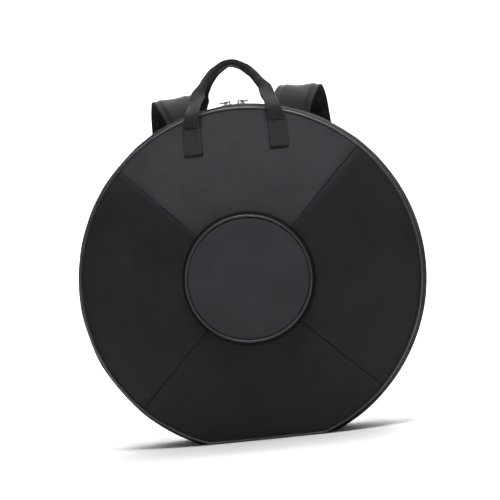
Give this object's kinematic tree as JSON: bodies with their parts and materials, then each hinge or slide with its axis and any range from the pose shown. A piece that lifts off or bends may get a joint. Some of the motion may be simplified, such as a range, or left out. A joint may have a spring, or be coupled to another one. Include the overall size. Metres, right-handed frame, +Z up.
{
  "type": "handpan bag",
  "caption": "Round padded carrying bag for a handpan: zipped clamshell with a raised cap on the lid, carrying handles and backpack straps.",
  "frame": {"origin": "middle of the flat that the bag stands on, in the plane of the zip", "axes": "+Z up, towards the handles; -Y towards the lid's cap; +Y towards the wearer's back; the bag's own axis is along Y"},
  "size_m": [0.5942, 0.3852, 0.6498],
  "materials": {
    "cloth": "black woven polyester with foam behind it",
    "piping": "smooth black vinyl",
    "webbing": "black ribbed webbing",
    "mesh": "black air mesh over foam",
    "lining": "dark grey lining cloth",
    "tape": "black zip tape",
    "teeth": "black moulded coil",
    "metal": "nickel plate",
    "plastic": "black moulded acetal"
  },
  "bodies": {
    "base": {"back_gore_top": "cloth", "back_gore_right": "cloth", "back_gore_bottom": "cloth", "back_gore_left": "cloth", "base_gusset": "cloth", "base_hinge_panel": "cloth", "base_lining": "lining", "base_rim_piping": "piping", "base_zip_tape": "tape", "base_zip_teeth": "teeth", "zip_end_tab_left": "webbing", "zip_end_tab_right": "webbing", "back_panel": "mesh", "back_panel_piping": "piping", "rear_handle_tab_left": "webbing", "rear_handle_tab_right": "webbing", "strap_yoke": "webbing", "strap_lower_tab_left": "webbing", "strap_lower_tab_right": "webbing"},
    "lid": {"front_gore_top": "cloth", "front_gore_right": "cloth", "front_gore_bottom": "cloth", "front_gore_left": "cloth", "lid_gusset": "cloth", "lid_hinge_panel": "cloth", "lid_lining": "lining", "lid_rim_piping": "piping", "lid_zip_tape": "tape", "lid_zip_teeth": "teeth", "cap_wall": "cloth", "cap_top": "cloth", "cap_piping": "piping", "front_handle_tab_left": "webbing", "front_handle_tab_right": "webbing"},
    "front_handle": {"front_handle_loop": "webbing"},
    "rear_handle": {"rear_handle_loop": "webbing"},
    "slider_left": {"zip_slider_left": "metal"},
    "slider_right": {"zip_slider_right": "metal"},
    "pull_left": {"zip_pull_left": "metal"},
    "pull_right": {"zip_pull_right": "metal"},
    "strap_left": {"strap_pad_left": "cloth", "strap_lock_loop_left": "webbing", "ladder_lock_left": "plastic", "strap_lower_webbing_left": "webbing", "strap_tail_left": "webbing"},
    "strap_right": {"strap_pad_right": "cloth", "strap_lock_loop_right": "webbing", "ladder_lock_right": "plastic", "strap_lower_webbing_right": "webbing", "strap_tail_right": "webbing"}
  },
  "joints": [
    {"name": "lid_hinge", "type": "hinge", "parent": "base", "child": "lid", "pos_m": [0, -0.006, 0], "axis": [1, 0, 0], "range_deg": [0, 110]},
    {"name": "front_handle_fold", "type": "hinge", "parent": "lid", "child": "front_handle", "pos_m": [0, -0.0806, 0.532], "axis": [1, 0, 0], "range_deg": [0, 95]},
    {"name": "rear_handle_fold", "type": "hinge", "parent": "base", "child": "rear_handle", "pos_m": [0, 0.0812, 0.532], "axis": [-1, 0, 0], "range_deg": [0, 30]},
    {"name": "slider_left_run", "type": "hinge", "parent": "base", "child": "slider_left", "pos_m": [0, 0, 0.272], "axis": [0, 1, 0], "range_deg": [-147, 0]},
    {"name": "slider_right_run", "type": "hinge", "parent": "base", "child": "slider_right", "pos_m": [0, 0, 0.272], "axis": [0, 1, 0], "range_deg": [0, 147]},
    {"name": "pull_left_swing", "type": "hinge", "parent": "slider_left", "child": "pull_left", "pos_m": [-0.01169, 0, 0.57417], "axis": [0, 1, 0], "range_deg": [0, 120]},
    {"name": "pull_right_swing", "type": "hinge", "parent": "slider_right", "child": "pull_right", "pos_m": [0.01169, 0, 0.57417], "axis": [0, -1, 0], "range_deg": [0, 120]},
    {"name": "strap_left_swing", "type": "hinge", "parent": "base", "child": "strap_left", "pos_m": [-0.086, 0.10668, 0.493], "axis": [0.2691, 0.0292, 0.9627], "range_deg": [-10, 10]},
    {"name": "strap_right_swing", "type": "hinge", "parent": "base", "child": "strap_right", "pos_m": [0.086, 0.10668, 0.493], "axis": [-0.2691, 0.0292, 0.9627], "range_deg": [-10, 10]}
  ]
}
